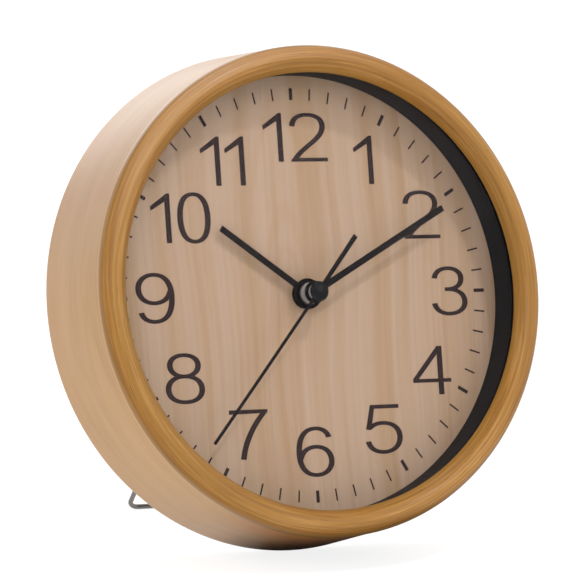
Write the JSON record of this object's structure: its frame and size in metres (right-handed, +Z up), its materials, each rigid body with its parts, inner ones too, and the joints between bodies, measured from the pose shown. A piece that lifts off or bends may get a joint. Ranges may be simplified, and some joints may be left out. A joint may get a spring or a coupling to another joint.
{
  "type": "desk clock",
  "caption": "Round analogue desk clock: wood-look drum case, half-round bezel and printed dial, driven by a quartz gear train and leaning back on a folding wire stand.",
  "frame": {"origin": "on the table, under the middle of the clock's bounding box", "axes": "+Z up, the dial faces -Y and is leant back 16 degrees about X, 3 o'clock points along +X"},
  "size_m": [0.1552, 0.0982, 0.1563],
  "materials": {
    "maple_case": "satin",
    "oak_bezel": "satin",
    "clear_lens": "polished",
    "black_ring": "matte",
    "dial_face": "matte",
    "dial_board": "matte",
    "gasket_rubber": "matte",
    "brass": "satin",
    "black_nut": "satin",
    "black_hands": "satin",
    "black_cap": "satin",
    "collar_metal": "satin",
    "gear_plastic": "satin",
    "knob_plastic": "satin",
    "motor_steel": "satin",
    "contact_steel": "polished",
    "copper_wire": "gloss",
    "circuit": "satin",
    "movement_black": "satin",
    "cell_can": "satin",
    "cover_plastic": "satin",
    "stand_wire": "polished"
  },
  "bodies": {
    "case": {"case_drum": "maple_case", "front_bezel": "oak_bezel", "lens": "clear_lens", "rehaut_ring": "black_ring", "dial": "dial_face", "dial_plate": "dial_board", "rubber_gasket": "gasket_rubber", "threaded_bush": "brass", "bush_nut": "black_nut", "stator": "motor_steel", "coil_core": "motor_steel", "coil_bobbin": "knob_plastic", "coil_winding": "copper_wire", "circuit_board": "circuit", "quartz_crystal": "contact_steel", "movement_housing": "movement_black", "train_plate": "knob_plastic", "movement_cover": "movement_black", "contact_negative": "contact_steel", "contact_positive": "contact_steel", "battery": "cell_can", "back_cover": "cover_plastic"},
    "seconds": {"second_hand": "black_hands", "second_cap": "black_cap", "second_wheel": "gear_plastic"},
    "third": {"third_wheel": "gear_plastic"},
    "centre": {"centre_wheel": "brass"},
    "intermediate": {"intermediate_wheel": "gear_plastic"},
    "rotor_body": {"rotor": "motor_steel"},
    "minutes": {"minute_hand": "black_hands", "minute_collar": "collar_metal", "minute_arbor": "gear_plastic"},
    "motion_work": {"minute_wheel": "gear_plastic"},
    "hours": {"hour_wheel": "gear_plastic", "hour_hand": "black_hands", "hour_collar": "collar_metal"},
    "setting": {"setting_knob": "knob_plastic"},
    "stand": {"wire_stand": "stand_wire"}
  },
  "joints": [
    {"name": "second_spin", "type": "hinge", "parent": "case", "child": "seconds", "pos_m": [0, -0.00316, 0.07741], "axis": [0, 0.9613, -0.2756], "continuous": true},
    {"name": "third_spin", "type": "hinge", "parent": "case", "child": "third", "pos_m": [-0.00772, -0.00193, 0.0817], "axis": [0, 0.9613, -0.2756], "continuous": true},
    {"name": "centre_spin", "type": "hinge", "parent": "case", "child": "centre", "pos_m": [0, -0.00316, 0.07741], "axis": [0, 0.9613, -0.2756], "continuous": true},
    {"name": "intermediate_spin", "type": "hinge", "parent": "case", "child": "intermediate", "pos_m": [0.00451, -0.001, 0.08493], "axis": [0, 0.9613, -0.2756], "continuous": true},
    {"name": "rotor_spin", "type": "hinge", "parent": "case", "child": "rotor_body", "pos_m": [0.01075, -0.00001, 0.08839], "axis": [0, 0.9613, -0.2756], "continuous": true},
    {"name": "minute_spin", "type": "hinge", "parent": "case", "child": "minutes", "pos_m": [0, -0.00316, 0.07741], "axis": [0, 0.9613, -0.2756], "continuous": true},
    {"name": "minute_wheel_spin", "type": "hinge", "parent": "case", "child": "motion_work", "pos_m": [0.00856, -0.00283, 0.07857], "axis": [0, 0.9613, -0.2756], "continuous": true},
    {"name": "hour_spin", "type": "hinge", "parent": "case", "child": "hours", "pos_m": [0, -0.00316, 0.07741], "axis": [0, 0.9613, -0.2756], "continuous": true},
    {"name": "setting_spin", "type": "hinge", "parent": "case", "child": "setting", "pos_m": [0.01667, -0.00201, 0.08141], "axis": [0, 0.9613, -0.2756], "continuous": true},
    {"name": "stand_fold", "type": "hinge", "parent": "case", "child": "stand", "pos_m": [0, -0.00072, 0.05435], "axis": [1, 0, 0], "range_deg": [0, 121]}
  ],
  "couplings": [
    {"joint": "third_spin", "follows": "second_spin", "ratio": -0.13333},
    {"joint": "centre_spin", "follows": "second_spin", "ratio": 0.016667},
    {"joint": "intermediate_spin", "follows": "second_spin", "ratio": -6},
    {"joint": "rotor_spin", "follows": "second_spin", "ratio": 30},
    {"joint": "minute_wheel_spin", "follows": "minute_spin", "ratio": -0.33333},
    {"joint": "hour_spin", "follows": "minute_spin", "ratio": 0.083333},
    {"joint": "setting_spin", "follows": "minute_spin", "ratio": 1}
  ]
}
